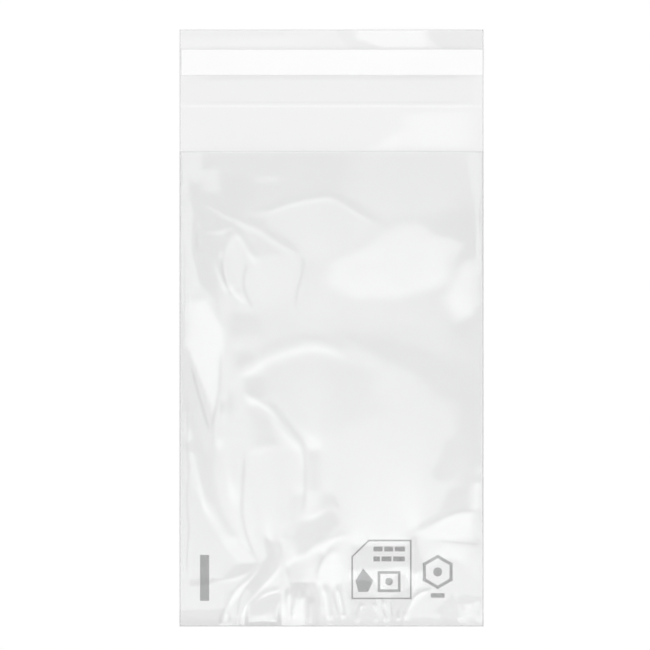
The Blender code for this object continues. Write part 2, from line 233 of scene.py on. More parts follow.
BODY_FOLDS: tuple[Fold, ...] = (
    Fold(0.11, 1.8, 0, 0.15, ((5.5, 209.5), (14.5, 208), (22, 204), (31, 199.5), (39.5, 196), (46.5, 191),
        (54.5, 186), (61, 180))),
    Fold(0.1, 1.5, 0, 0.15, ((6.5, 208), (11, 197))),
    Fold(0.1, 1.6, 0, 0.15, ((11, 196), (18, 195.5), (28, 197.5))),
    Fold(0.11, 1.7, 0, 0.2, ((34, 203), (45.5, 205.5), (55, 209), (65, 211), (73.5, 212), (81.5, 208.5),
        (90, 203), (101, 196.5))),
    Fold(0.22, 1.7, 0.5, 0.2, ((24.5, 196), (22.5, 184), (23.5, 174), (27, 165.5), (33.5, 158.5))),
    Fold(0.22, 1.3, 0, 0.2, ((21, 190), (18.5, 180), (21, 172), (25, 164))),
    Fold(0.14, 1.6, 0, 0.2, ((27.5, 197), (31, 191), (36, 183), (39, 180))),
    Fold(0.13, 3.4, 0.1, 0.2, ((25.5, 117), (30, 124), (41, 132), (53.5, 137), (66, 139.5), (78.5, 136),
        (90, 128.5))),
    Fold(0.15, 2, 0, 0.15, ((30, 117), (38, 111.5), (46, 106), (54, 96), (60, 88), (61, 77))),
    Fold(0.32, 2.4, 0.3, 0.25, ((25.5, 117.5), (24.5, 102), (24.5, 84), (26.5, 66.5), (28.5, 58.5))),
    Fold(0.35, 1.6, 0.2, 0.3, ((21, 112), (19.5, 97), (19, 86))),
    Fold(0.2, 1.6, 0.2, 0.2, ((3.5, 107), (5.5, 92), (10, 72), (15, 52.5))),
    Fold(0.08, 1.6, 0, 0.2, ((56.5, 31.5), (67, 38), (77, 44), (85, 45))),
    Fold(0.15, 1.5, 0.2, 0.3, ((51.5, 48.5), (53.5, 38.5), (54.5, 26.5))),
    Fold(0.15, 1.3, 0, 0.12, ((23, 2), (23.5, 10), (28, 17.5), (35, 24), (40.5, 31.5))),
    Fold(0.16, 1.3, 0, 0.12, ((29.5, 2), (32, 10), (38.5, 18), (45.5, 25.5), (49.5, 33.5), (48, 42.5))),
    Fold(0.2, 1.2, 0, 0.15, ((33, 2), (36, 10), (42, 16), (50, 18.5))),
    Fold(0.45, 1.4, 0, 0.25, ((59, 1.5), (59, 9), (59.5, 17))),
    Fold(0.35, 1.2, 0, 0.2, ((53.5, 1.5), (53, 10), (54, 19))),
    Fold(0.3, 1.1, 0, 0.2, ((64, 1.5), (64.5, 8), (65, 14))),
    Fold(0.38, 1.5, 0, 0.2, ((75, 2), (73.5, 11), (72, 21))),
    Fold(0.38, 1.5, 0, 0.2, ((81, 2), (80, 11), (78, 21))),
    Fold(0.3, 1.1, 0, 0.2, ((87.5, 1.5), (88.5, 8), (91, 12))),
    Fold(0.3, 1.1, 0, 0.2, ((97, 1.5), (97, 8), (95.5, 13))),
    Fold(0.45, 1.3, 0, 0.2, ((102, 1.5), (102, 8), (100.5, 14))),
    Fold(0.35, 1.2, 0, 0.2, ((107.5, 1.5), (108.5, 8), (111.5, 15))),
    Fold(0.28, 1.4, 0, 0.15, ((111, 2), (113.5, 11), (119, 16.5), (128.5, 18.5))),
    Fold(0.45, 1.5, 0, 0.15, ((139, 2), (138.5, 10), (136, 16))),
    Fold(0.4, 1.4, 0, 0.2, ((147.5, 15), (149, 10), (148, 2))),
)

# Painted shade: lines along which the film is drawn darker, where its creases fall into shade
BODY_CREASE_SHADES: tuple[CreaseShade, ...] = (
    CreaseShade(0.5, 0.8, ((33.5, 180), (31.5, 171), (33, 163.5), (36.5, 156.5))),
    CreaseShade(0.5, 0.7, ((60.5, 184), (61, 176), (58, 165), (57, 156.5))),
    CreaseShade(0.3, 0.7, ((8.5, 195), (8.5, 184))),
    CreaseShade(0.5, 0.7, ((20.5, 183), (22, 171), (26, 162.5))),
    CreaseShade(0.6, 1, ((32.5, 87), (31.5, 74.5), (31, 66.5), (31, 55.5), (33, 45), (36, 37.5), (39.5, 32))),
    CreaseShade(0.5, 0.7, ((61, 90), (62, 77), (61.5, 62.5), (60, 55))),
    CreaseShade(0.5, 0.7, ((35, 110), (44, 105), (51.5, 97), (58.5, 89))),
    CreaseShade(0.5, 1.1, ((67, 21), (68, 26.5), (70, 32.5), (73.5, 37), (77.5, 39.5))),
    CreaseShade(0.6, 0.6, ((127.5, 42.5), (135.5, 41.5), (148, 40.5))),
    CreaseShade(0.7, 0.6, ((5.5, 129.5), (8, 119.5), (12.5, 104), (15, 95.5))),
    CreaseShade(0.6, 0.6, ((20, 136.5), (20, 119.5), (17, 104), (15, 95.5))),
    CreaseShade(0.6, 0.6, ((120.5, 48.5), (128.5, 53), (137, 56.5), (148, 57.5))),
    CreaseShade(0.6, 0.6, ((112, 7), (114.5, 13), (118.5, 17), (125.5, 19))),
    CreaseShade(0.45, 0.8, ((53.5, 20), (52.5, 13), (53.5, 5))),
    CreaseShade(0.45, 0.7, ((56, 11), (55, 4))),
    CreaseShade(0.5, 0.7, ((75.5, 18), (77, 11), (79, 4.5))),
    CreaseShade(0.5, 0.7, ((79, 18), (81, 10), (82, 4))),
    CreaseShade(0.5, 0.6, ((100, 15), (100.5, 9), (101.5, 4))),
    CreaseShade(0.6, 0.6, ((104, 13), (105, 4))),
    CreaseShade(0.4, 0.6, ((28, 42), (35, 36), (39.5, 32.5))),
    CreaseShade(0.5, 0.5, ((3, 116), (4, 102), (3.5, 89.5), (4.5, 77), (3.5, 62.5), (4.5, 47.5), (3.5, 32.5),
        (4, 18))),
    CreaseShade(0.4, 0.5, ((2.5, 186), (2.5, 161.5), (2, 136.5))),
)

# Painted reflections: patches where the film is drawn darker, as if it mirrored something dim
BODY_PAINTED_REFLECTIONS: tuple[PaintedReflection, ...] = (
    PaintedReflection(1, 1.8, ((-0.5, 8), (13.5, 8), (22.5, 9), (20.5, -3), (-0.5, -3))),
    PaintedReflection(0.9, 1.2, ((4.5, 23), (13.5, 24), (22, 23.5), (13.5, 20.5), (5.5, 19.5))),
    PaintedReflection(0.2, 1.4, ((20, 30), (27, 31), (38, 31), (34, 26.5), (25, 23.5), (19, 23.5))),
    PaintedReflection(0.2, 1.4, ((42, 44.5), (46, 41.5), (47, 34.5), (44, 26.5), (37, 18), (32, 10), (29, -2),
        (24, -2), (27.5, 11), (32.5, 20), (39.5, 28.5), (43, 34.5))),
    PaintedReflection(0.5, 2, ((52.5, 28.5), (59.5, 34), (68.5, 38), (71.5, 34.5), (66.5, 23), (54.5, 22))),
    PaintedReflection(0.7, 1.2, ((54.5, 22), (66.5, 22), (69.5, 15), (70, -3), (62, -3), (61, 13), (59, 17.5),
        (57, 11), (54.5, -3))),
    PaintedReflection(1, 1.6, ((61.5, 15), (65.5, 17), (68.5, 13), (69, -3), (62, -3))),
    PaintedReflection(0.6, 1.4, ((82.5, 18), (97, 16), (97, 10), (84, 10))),
    PaintedReflection(0.55, 1.6, ((84, 9.5), (96, 9.5), (98, -3), (84, -3))),
    PaintedReflection(0.8, 1.6, ((104.5, 15), (114.5, 19.5), (112, 11), (111, -3), (103.5, -3))),
    PaintedReflection(0.75, 1.6, ((131.5, 13), (134.5, 16), (137.5, 12), (137.5, -3), (129.5, -3), (128.5, 6.5),
        (125, 7))),
    PaintedReflection(0.5, 2, ((-0.5, 4.5), (55.5, 5), (55.5, -3), (-0.5, -3))),
    PaintedReflection(0.5, 2, ((62.5, 5), (151, 4), (151, -3), (62.5, -3))),
    PaintedReflection(0.5, 3, ((54.5, 64.5), (76, 65.5), (79, 59), (73.5, 57.5), (59.5, 50.5), (55, 47.5))),
)

# Features of the flap
FLAP_FACETS: tuple[Facet, ...] = (
    Facet(0.3, 1.5, ((-4.5, 270.5), (145, 270.5), (145, 258.5), (-4.5, 258.5))),
    Facet(1.6, 1.2, ((-4.5, 258), (153, 258), (153, 256), (-4.5, 256))),
    Facet(3.4, 8, ((108.5, 254.5), (153, 256.5), (153, 235), (94, 235), (108.5, 246.5))),
    Facet(0.2, 1.2, ((-4.5, 295.5), (59.5, 295.5), (62.5, 292), (30, 290.5), (-4.5, 290))),
    Facet(-1.4, 1, ((70.5, 295.5), (78, 295.5), (84, 290), (87, 286), (82, 286), (76, 291))),
    Facet(-0.4, 1.4, ((77.5, 295.5), (85, 295.5), (87.5, 291), (85, 286.5), (80, 290))),
    Facet(4.4, 1.5, ((87, 295.5), (120.5, 295.5), (122.5, 289), (123.5, 285.5), (100, 285.5), (92, 288.5),
        (87, 290))),
    Facet(-0.9, 1, ((85, 288.5), (90, 289), (96, 286.5), (99, 285), (84, 285))),
    Facet(-2.6, 1.5, ((123.5, 295.5), (153, 295.5), (153, 285), (132.5, 285), (126.5, 288), (124, 290))),
    Facet(2.4, 1.4, ((-4.5, 289.5), (30, 290), (61.5, 291.5), (70.5, 294.5), (72.5, 292), (68.5, 287),
        (59.5, 285.5), (-4.5, 286))),
    Facet(1.6, 0.9, ((124.5, 289), (128.5, 288.5), (133.5, 286), (127.5, 285.5))),
)

FLAP_FOLDS: tuple[Fold, ...] = (
    Fold(0.05, 0.9, 0, 0.02, ((-4.5, 257.5), (35, 257.5), (74.5, 257.5), (118.5, 257.5), (153, 257.5))),
)

# Painted shade: dark lines across the flap, two of them along the release strip's edges where its shadow
# falls
FLAP_CREASE_SHADES: tuple[CreaseShade, ...] = (
    CreaseShade(0.25, 0.8, ((-1.5, 285.5), (35, 285.5), (74.5, 285.5), (108.5, 285.5), (152, 285.5))),
    CreaseShade(0.5, 1.2, ((-1.5, 270.5), (35, 271), (74.5, 271), (108.5, 271), (152, 271))),
    CreaseShade(0.25, 0.6, ((-1.5, 258.5), (35, 258.5), (74.5, 258.5), (108.5, 258.5), (152, 258.5))),
)

# Painted reflections: patches of the flap drawn darker and bluish, as if they mirrored something dim
FLAP_PAINTED_REFLECTIONS: tuple[PaintedReflection, ...] = (
    PaintedReflection(0.15, 0.8, ((-4.5, 270), (144.5, 270), (144.5, 258.5), (-4.5, 258.5))),
    PaintedReflection(0.2, 1.2, ((-4.5, 294.5), (50.5, 294.5), (51.5, 291.5), (-4.5, 291))),
    PaintedReflection(0.35, 1.2, ((76, 296), (84, 296), (86.5, 290), (93, 285), (84, 285), (79.5, 290))),
    PaintedReflection(0.4, 0.8, ((84, 289), (90, 288.5), (98, 286), (98, 284.5), (85, 284.5))),
    PaintedReflection(0.7, 1.5, ((122.5, 296), (154, 296), (154, 284.5), (131.5, 284.5), (126.5, 287), (123.5, 290))),
)


@dataclass(frozen=True)
class BagSizes:
    """Driving sizes of the bag in millimetres."""

    width: float
    length: float
    body: float = 234.5
    film: float = 0.05

    @classmethod
    def from_frame(cls) -> "BagSizes":
        """Reads width and length from the film's own node."""
        low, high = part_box("bag_film")
        return cls(
            width=(high.x - low.x) / MM - 2 * cls.film,
            length=(high.y - low.y) / MM - cls.film,
        )

    def to_row(self, across: np.ndarray, along: np.ndarray) -> tuple[np.ndarray, np.ndarray]:
        """Turns places on the bag into row frame millimetres."""
        return across - self.width / 2, along - self.length / 2


def ease(t: np.ndarray) -> np.ndarray:
    """Smooth step from 0 to 1."""
    t = np.clip(t, 0.0, 1.0)
    return t * t * (3.0 - 2.0 * t)


def smooth_path(points: Path, steps: int = 8) -> np.ndarray:
    """Runs a smooth curve through points.

    Args:
        points: The places that the curve passes through.
        steps: How many pieces each stretch is cut into.

    Returns:
        The curve as an array of points.
    """
    through = np.array(points, float)
    if len(through) < 3:
        return np.linspace(through[0], through[-1], steps + 1)
    padded = np.vstack([2 * through[0] - through[1], through, 2 * through[-1] - through[-2]])
    share = np.linspace(0.0, 1.0, steps, endpoint=False)[:, None]
    curve = []
    for before, start, end, after in zip(padded, padded[1:], padded[2:], padded[3:]):
        bend = 2 * before - 5 * start + 4 * end - after
        twist = 3 * start - before - 3 * end + after
        curve.append(0.5 * (2 * start + (end - before) * share + bend * share**2 + twist * share**3))
    curve.append(through[-1:])
    return np.vstack(curve)


def measure_line(x: np.ndarray, y: np.ndarray, line: np.ndarray) -> tuple[np.ndarray, np.ndarray]:
    """Measures places against a line.

    Args:
        x: Places across the bag.
        y: Places along the bag.
        line: The line's points.

    Returns:
        The distance from the line, above 0 on its left, and the place along it from 0 to 1.
    """
    runs = np.diff(line, axis=0)
    lengths = np.hypot(runs[:, 0], runs[:, 1])
    reached = np.concatenate([[0.0], np.cumsum(lengths)])
    nearest = np.full(x.shape, np.inf)
    signed = np.zeros(x.shape)
    along = np.zeros(x.shape)
    for start, run, length, before in zip(line, runs, lengths, reached):
        share = np.clip(((x - start[0]) * run[0] + (y - start[1]) * run[1]) / length**2, 0.0, 1.0)
        off_x = x - start[0] - share * run[0]
        off_y = y - start[1] - share * run[1]
        distance = np.hypot(off_x, off_y)
        closer = distance < nearest
        nearest[closer] = distance[closer]
        left = np.sign(run[0] * off_y - run[1] * off_x)
        signed[closer] = (left * distance)[closer]
        along[closer] = ((before + share * length) / reached[-1])[closer]
    return signed, along


def measure_outline(x: np.ndarray, y: np.ndarray, outline: Path) -> np.ndarray:
    """Distance from a closed outline, above 0 inside it."""
    corners = np.array(outline, float)
    nearest = np.full(x.shape, np.inf)
    inside = np.zeros(x.shape, bool)
    for start, end in zip(corners, np.roll(corners, -1, axis=0)):
        run = end - start
        share = np.clip(((x - start[0]) * run[0] + (y - start[1]) * run[1]) / (run @ run), 0.0, 1.0)
        off = np.hypot(x - start[0] - share * run[0], y - start[1] - share * run[1])
        nearest = np.minimum(nearest, off)
        if run[1]:
            crossing = start[0] + (y - start[1]) * run[0] / run[1]
            inside ^= ((start[1] > y) != (end[1] > y)) & (x < crossing)
    return np.where(inside, nearest, -nearest)


@dataclass(frozen=True)
class Pillow:
    """The plain form of a stretch of film, before any facet or fold.

    rise is the height that it gains over rise_length from its near end, steady_lean is its lean beyond
    that, and side_reach is the distance from a side at which it is at its full height. A side_reach of
    0 leaves the sides free.
    """

    rise: float
    rise_length: float
    steady_lean: float
    side_reach: float
    side_calm: float

    def heights(self, to_side: np.ndarray, near: np.ndarray) -> np.ndarray:
        """The pillow's height, from distances to the side and to the near end."""
        lift = self.rise * (1.0 - np.exp(-near / self.rise_length))
        lift = lift + math.tan(math.radians(self.steady_lean)) * near
        if self.side_reach <= 0:
            return lift
        return lift * np.sin(np.clip(to_side / self.side_reach, 0.0, 1.0) * math.pi / 2)


@dataclass
class FilmRelief:
    """The height of a stretch of film over a fine even grid.

    The facets set how far the film leans along the bag. Levelling them finds the one surface that
    leans nearest to that, held down at both sides and at its near end, and free at its far end.
    across_weight is how much an uneven height across the bag counts against it. edge_share is the
    share of its height that the film keeps right at its sides.
    """

    width: float
    start: float
    end: float
    pillow: Pillow
    facets: tuple[Facet, ...]
    folds: tuple[Fold, ...]
    # Masks of painted shade along creases and of painted dark reflections
    crease_shades: tuple[CreaseShade, ...]
    painted_reflections: tuple[PaintedReflection, ...] = ()
    spacing: float = 0.5
    across_weight: float = 0.06
    clearance: float = 0.06
    edge_share: float = 0.2
    crease_taper: float = 0.15

    def __post_init__(self) -> None:
        """Works out the grid, the heights, the painted crease shade and the painted dark reflections."""
        columns = round(self.width / self.spacing)
        rows = round((self.end - self.start) / self.spacing)
        self.x_lines = np.linspace(0.0, self.width, columns + 1)
        self.y_lines = np.linspace(self.start, self.end, rows + 1)
        self.x, self.y = np.meshgrid(self.x_lines, self.y_lines)
        self.height = self._heights()
        self.crease_shade = self._crease_shade_depth()
        self.cast = self._painted_reflection_depth()

    def _level(self, slope: np.ndarray, dx: float, dy: float) -> np.ndarray:
        """Finds the surface whose slope along the bag is nearest to the one asked for.

        Args:
            slope: Wanted slope between each two rows, on every column.
            dx: Distance between columns.
            dy: Distance between rows.

        Returns:
            Heights on every row and column, 0 at both sides and on the first row.
        """
        rows, columns = slope.shape[0], slope.shape[1] - 1
        waves = np.arange(1, columns)
        sine = np.sin(math.pi * np.outer(waves, waves) / columns)
        pull = np.zeros((rows, columns - 1))
        inner = slope[:, 1:-1]
        pull[:-1] = (inner[1:] - inner[:-1]) / dy
        pull[-1] = -inner[-1] / dy
        pull = pull @ sine.T * 2 / columns
        stiff = self.across_weight * (2 - 2 * np.cos(math.pi * waves / columns)) / dx**2
        side = 1 / dy**2
        centre = np.full((rows, columns - 1), -2 * side) - stiff
        centre[-1] += side
        carry = np.zeros_like(pull)
        level = np.zeros_like(pull)
        carry[0] = side / centre[0]
        level[0] = pull[0] / centre[0]
        for row in range(1, rows):
            pivot = centre[row] - side * carry[row - 1]
            carry[row] = side / pivot
            level[row] = (pull[row] - side * level[row - 1]) / pivot
        for row in range(rows - 2, -1, -1):
            level[row] -= carry[row] * level[row + 1]
        surface = np.zeros((rows + 1, columns + 1))
        surface[1:, 1:-1] = level @ sine
        return surface

    def _heights(self) -> np.ndarray:
        """Levels the facets, lays the folds on top and calms both sides."""
        dx = self.x_lines[1] - self.x_lines[0]
        dy = self.y_lines[1] - self.y_lines[0]
        to_side = np.minimum(self.x, self.width - self.x)
        plain = self.pillow.heights(to_side, self.y - self.start)
        plain_slope = np.diff(plain, axis=0) / dy
        slope = plain_slope.copy()
        between = (self.y[1:] + self.y[:-1]) / 2
        for facet in self.facets:
            share = ease(measure_outline(self.x[1:], between, facet.outline) / facet.blend + 0.5)
            slope += (math.tan(math.radians(facet.lean)) - slope) * share
        height = plain + self._level(slope - plain_slope, dx, dy)
        for fold in self.folds:
            height += self._fold(fold)
        if self.pillow.side_calm > 0:
            height *= ease(to_side / self.pillow.side_calm + self.edge_share)
        return np.maximum(height, 0.0) + self.clearance

    def _fold(self, fold: Fold) -> np.ndarray:
        """Height of one fold over the whole grid."""
        signed, along = measure_line(self.x, self.y, smooth_path(fold.path))
        flank = fold.half_width * np.where(signed > 0, 1 + fold.skew, 1 - fold.skew)
        ends = ease(along / fold.taper) * ease((1 - along) / fold.taper)
        return fold.height * ends * np.exp(-((signed / flank) ** 2))

    def _crease_shade_depth(self) -> np.ndarray:
        """How deep the painted shade along the creases is, from 0 to 1, over the whole grid."""
        depth = np.zeros(self.x.shape)
        for crease_shade in self.crease_shades:
            signed, along = measure_line(self.x, self.y, smooth_path(crease_shade.path))
            ends = ease(along / self.crease_taper) * ease((1 - along) / self.crease_taper)
            depth = np.maximum(depth, crease_shade.depth * ends * np.exp(-((signed / crease_shade.half_width) ** 2)))
        return depth

    def _painted_reflection_depth(self) -> np.ndarray:
        """How strong the painted dark reflection is, from 0 to 1, over the whole grid."""
        depth = np.zeros(self.x.shape)
        for cast in self.painted_reflections:
            share = ease(measure_outline(self.x, self.y, cast.outline) / cast.blend + 0.5)
            depth = np.maximum(depth, cast.depth * share)
        return depth

    def sample(self, values: np.ndarray, x: np.ndarray, y: np.ndarray) -> np.ndarray:
        """Reads a grid between its lines.

        Args:
            values: Heights, painted crease shade or painted dark reflections on the grid.
            x: Places across the bag.
            y: Places along the bag.

        Returns:
            The values there.
        """
        column = np.clip(x / self.width, 0.0, 1.0) * (len(self.x_lines) - 1)
        row = np.clip((y - self.start) / (self.end - self.start), 0.0, 1.0) * (len(self.y_lines) - 1)
        left = np.minimum(column.astype(int), len(self.x_lines) - 2)
        low = np.minimum(row.astype(int), len(self.y_lines) - 2)
        a, b = column - left, row - low
        return (
            values[low, left] * (1 - b) * (1 - a)
            + values[low, left + 1] * (1 - b) * a
            + values[low + 1, left] * b * (1 - a)
            + values[low + 1, left + 1] * b * a
        )


@dataclass
class Sheet:
    """A thin closed solid over rows of points, from one end of the bag towards the other.

    A row may hold the same count of cells as the row before it, or half of them, so the mesh can be
    fine at one end and coarser at the other.
    """

    rows: list[np.ndarray]
    along: list[float]

    @property
    def across(self) -> np.ndarray:
        """Place across the bag of every point."""
        return np.concatenate(self.rows)

    @property
    def lengthwise(self) -> np.ndarray:
        """Place along the bag of every point."""
        return np.concatenate([np.full(len(r), y) for r, y in zip(self.rows, self.along)])

    def cells(self) -> tuple[list[tuple[int, ...]], list[int]]:
        """Joins the rows.

        Returns:
            The cells of the upper face, and its rim as a run of points.
        """
        firsts = np.concatenate([[0], np.cumsum([len(r) for r in self.rows])])
        faces: list[tuple[int, ...]] = []
        for row in range(len(self.rows) - 1):
            a, b = int(firsts[row]), int(firsts[row + 1])
            near, far = len(self.rows[row]) - 1, len(self.rows[row + 1]) - 1
            if near == far:
                faces += [(a + i, a + i + 1, b + i + 1, b + i) for i in range(near)]
            else:
                faces += [(a + 2 * i, a + 2 * i + 1, a + 2 * i + 2, b + i + 1, b + i) for i in range(far)]
        right = [int(f) - 1 for f in firsts[1:]]
        left = [int(f) for f in firsts[:-1]]
        near_edge = list(range(left[0], right[0]))
        far_edge = list(range(right[-1], left[-1], -1))
        return faces, near_edge + right[:-1] + far_edge + left[:0:-1]

    def solid(self, name: str, sizes: BagSizes, under: np.ndarray, thickness: float) -> bpy.types.Object:
        """Builds the solid.

        Args:
            name: The piece's name.
            sizes: The bag's sizes, which place it.
            under: Height of the lower face at every point.
            thickness: Distance between the faces.

        Returns:
            The new mesh object.
        """
        faces, rim = self.cells()
        x, y = sizes.to_row(self.across, self.lengthwise)
        top = np.stack([x, y, under + thickness], axis=-1)
        bottom = np.stack([x, y, under], axis=-1)
        count = len(x)
        lower = [tuple(i + count for i in reversed(face)) for face in faces]
        sides = [(p, p + count, q + count, q) for p, q in zip(rim, rim[1:] + rim[:1])]
        return add_piece(name, np.vstack([top, bottom]), faces + lower + sides, 2 * len(faces))


def add_piece(name: str, points: np.ndarray, faces: list[tuple[int, ...]], rounded: int) -> bpy.types.Object:
    """Makes a mesh piece.

    Args:
        name: The piece's name.
        points: Its points in millimetres.
        faces: Its faces.
        rounded: How many of its faces, counted from the first, are shaded smooth.

    Returns:
        The new object.
    """
    mesh = bpy.data.meshes.new(name)
    mesh.from_pydata((points * MM).tolist(), [], faces)
    mesh.polygons.foreach_set("use_smooth", np.arange(len(mesh.polygons)) < rounded)
    mesh.update()
    piece = bpy.data.objects.new(name, mesh)
    bpy.context.scene.collection.objects.link(piece)
    return piece


def crowded(count: int, length: float, crowding: float) -> np.ndarray:
    """Places from 0 to length that lie closer together at the start when crowding is above 0."""
    t = np.linspace(0.0, 1.0, count + 1)
    return length * (t - crowding * t * (1.0 - t))


def add_mask(piece: bpy.types.Object, name: str, values: np.ndarray) -> None:
    """Stores one number for each point of a piece, the same on its upper and its lower face."""
    attribute = piece.data.attributes.new(name, "FLOAT", "POINT")
    attribute.data.foreach_set("value", np.tile(values, 2).astype(np.float32))


def hand_in(piece: bpy.types.Object, slot: Slot, *nodes: str) -> None:
    """Gives a finished piece to the frame.

    Args:
        piece: The piece, in place.
        slot: Not used.
        nodes: The CAD nodes that it stands for.
    """
    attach(piece, "root")
    if nodes:
        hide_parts(*nodes)
    LOG.info("%s: %d faces", piece.name, len(piece.data.polygons))


def add_math(tree: bpy.types.NodeTree, operation: str, *values: object) -> bpy.types.NodeSocket:
    """Adds a Math node.

    Args:
        tree: The tree that takes it.
        operation: Blender's name for what it does.
        values: Its inputs, each a number or a socket.

    Returns:
        Its output.
    """
    node = tree.nodes.new("ShaderNodeMath")
    node.operation = operation
    for slot, value in zip(node.inputs, values):
        if isinstance(value, bpy.types.NodeSocket):
            tree.links.new(value, slot)
        else:
            slot.default_value = value
    return node.outputs[0]


class WearGroup:
    """A node group with the marks that handling leaves on film: haze, fine streaks and a soft ripple."""

    name = "film_wear"
    sizes = {"Haze Size": 28.0, "Streak Size": 160.0}
    haze_detail = 3.0
    streak_detail = 2.0
    streak_stretch = (0.12, 1.0, 1.0)
    streak_limits = (0.52, 0.75)

    @classmethod
    def tree(cls) -> bpy.types.NodeTree:
        """Builds the group once and returns it."""
        found = bpy.data.node_groups.get(cls.name)
        if found:
            return found
        group = bpy.data.node_groups.new(cls.name, "ShaderNodeTree")
        for label, start in cls.sizes.items():
            socket = group.interface.new_socket(label, in_out="INPUT", socket_type="NodeSocketFloat")
            socket.default_value = start
        for label in ("Haze", "Streaks", "Ripple"):
            group.interface.new_socket(label, in_out="OUTPUT", socket_type="NodeSocketFloat")
        taken = group.nodes.new("NodeGroupInput")
        given = group.nodes.new("NodeGroupOutput")
        place = group.nodes.new("ShaderNodeTexCoord").outputs["Object"]
        haze = cls._noise(group, place, taken.outputs["Haze Size"], cls.haze_detail)
        stretch = group.nodes.new("ShaderNodeVectorMath")
        stretch.operation = "MULTIPLY"
        stretch.inputs[1].default_value = cls.streak_stretch
        group.links.new(place, stretch.inputs[0])
        streak_size = taken.outputs["Streak Size"]
        streaks = cls._noise(group, stretch.outputs["Vector"], streak_size, cls.streak_detail)
        lines = group.nodes.new("ShaderNodeMapRange")
        lines.inputs["From Min"].default_value, lines.inputs["From Max"].default_value = cls.streak_limits
        group.links.new(streaks, lines.inputs["Value"])
        group.links.new(haze, given.inputs["Haze"])
        group.links.new(lines.outputs["Result"], given.inputs["Streaks"])
        group.links.new(add_math(group, "ADD", haze, streaks), given.inputs["Ripple"])
        return group

    @staticmethod
    def _noise(
        group: bpy.types.NodeTree,
        place: bpy.types.NodeSocket,
        scale: bpy.types.NodeSocket,
        detail: float,
    ) -> bpy.types.NodeSocket:
        """Adds one noise texture and returns its value."""
        noise = group.nodes.new("ShaderNodeTexNoise")
        noise.inputs["Detail"].default_value = detail
        group.links.new(place, noise.inputs["Vector"])
        group.links.new(scale, noise.inputs["Scale"])
        return noise.outputs["Fac"]


@dataclass
class Finish:
    """A material with a Principled shader and the marks of wear at hand."""

    name: str

    def start(self) -> None:
        """Makes the material, its shader and its wear node."""
        self.material = bpy.data.materials.new(self.name)
        self.material.use_nodes = True
        self.tree = self.material.node_tree
        self.shader = self.tree.nodes["Principled BSDF"]
        self.wear = self.tree.nodes.new("ShaderNodeGroup")
        self.wear.node_tree = WearGroup.tree()

    def vary(self, mask: bpy.types.NodeSocket, low: float, high: float) -> bpy.types.NodeSocket:
        """Turns a mask from 0 to 1 into a value from low to high."""
        return add_math(self.tree, "MULTIPLY_ADD", mask, high - low, low)

    def mix(
        self, mask: bpy.types.NodeSocket, first: Colour | bpy.types.NodeSocket, second: Colour
    ) -> bpy.types.NodeSocket:
        """Mixes a colour, or a socket that gives one, with a second colour by a mask."""
        node = self.tree.nodes.new("ShaderNodeMix")
        node.data_type = "RGBA"
        start, end = (slot for slot in node.inputs if slot.type == "RGBA")
        end.default_value = (*second, 1.0)
        if isinstance(first, bpy.types.NodeSocket):
            self.tree.links.new(first, start)
        else:
            start.default_value = (*first, 1.0)
        self.tree.links.new(mask, node.inputs["Factor"])
        return next(slot for slot in node.outputs if slot.type == "RGBA")

    def bump(self, height: bpy.types.NodeSocket, distance: float) -> None:
        """Raises the surface a little by a height."""
        node = self.tree.nodes.new("ShaderNodeBump")
        node.inputs["Strength"].default_value = 1.0
        node.inputs["Distance"].default_value = distance
        self.tree.links.new(height, node.inputs["Height"])
        self.tree.links.new(node.outputs["Normal"], self.shader.inputs["Normal"])

    def link(self, output: bpy.types.NodeSocket, socket: str) -> None:
        """Feeds one of the shader's inputs."""
        self.tree.links.new(output, self.shader.inputs[socket])


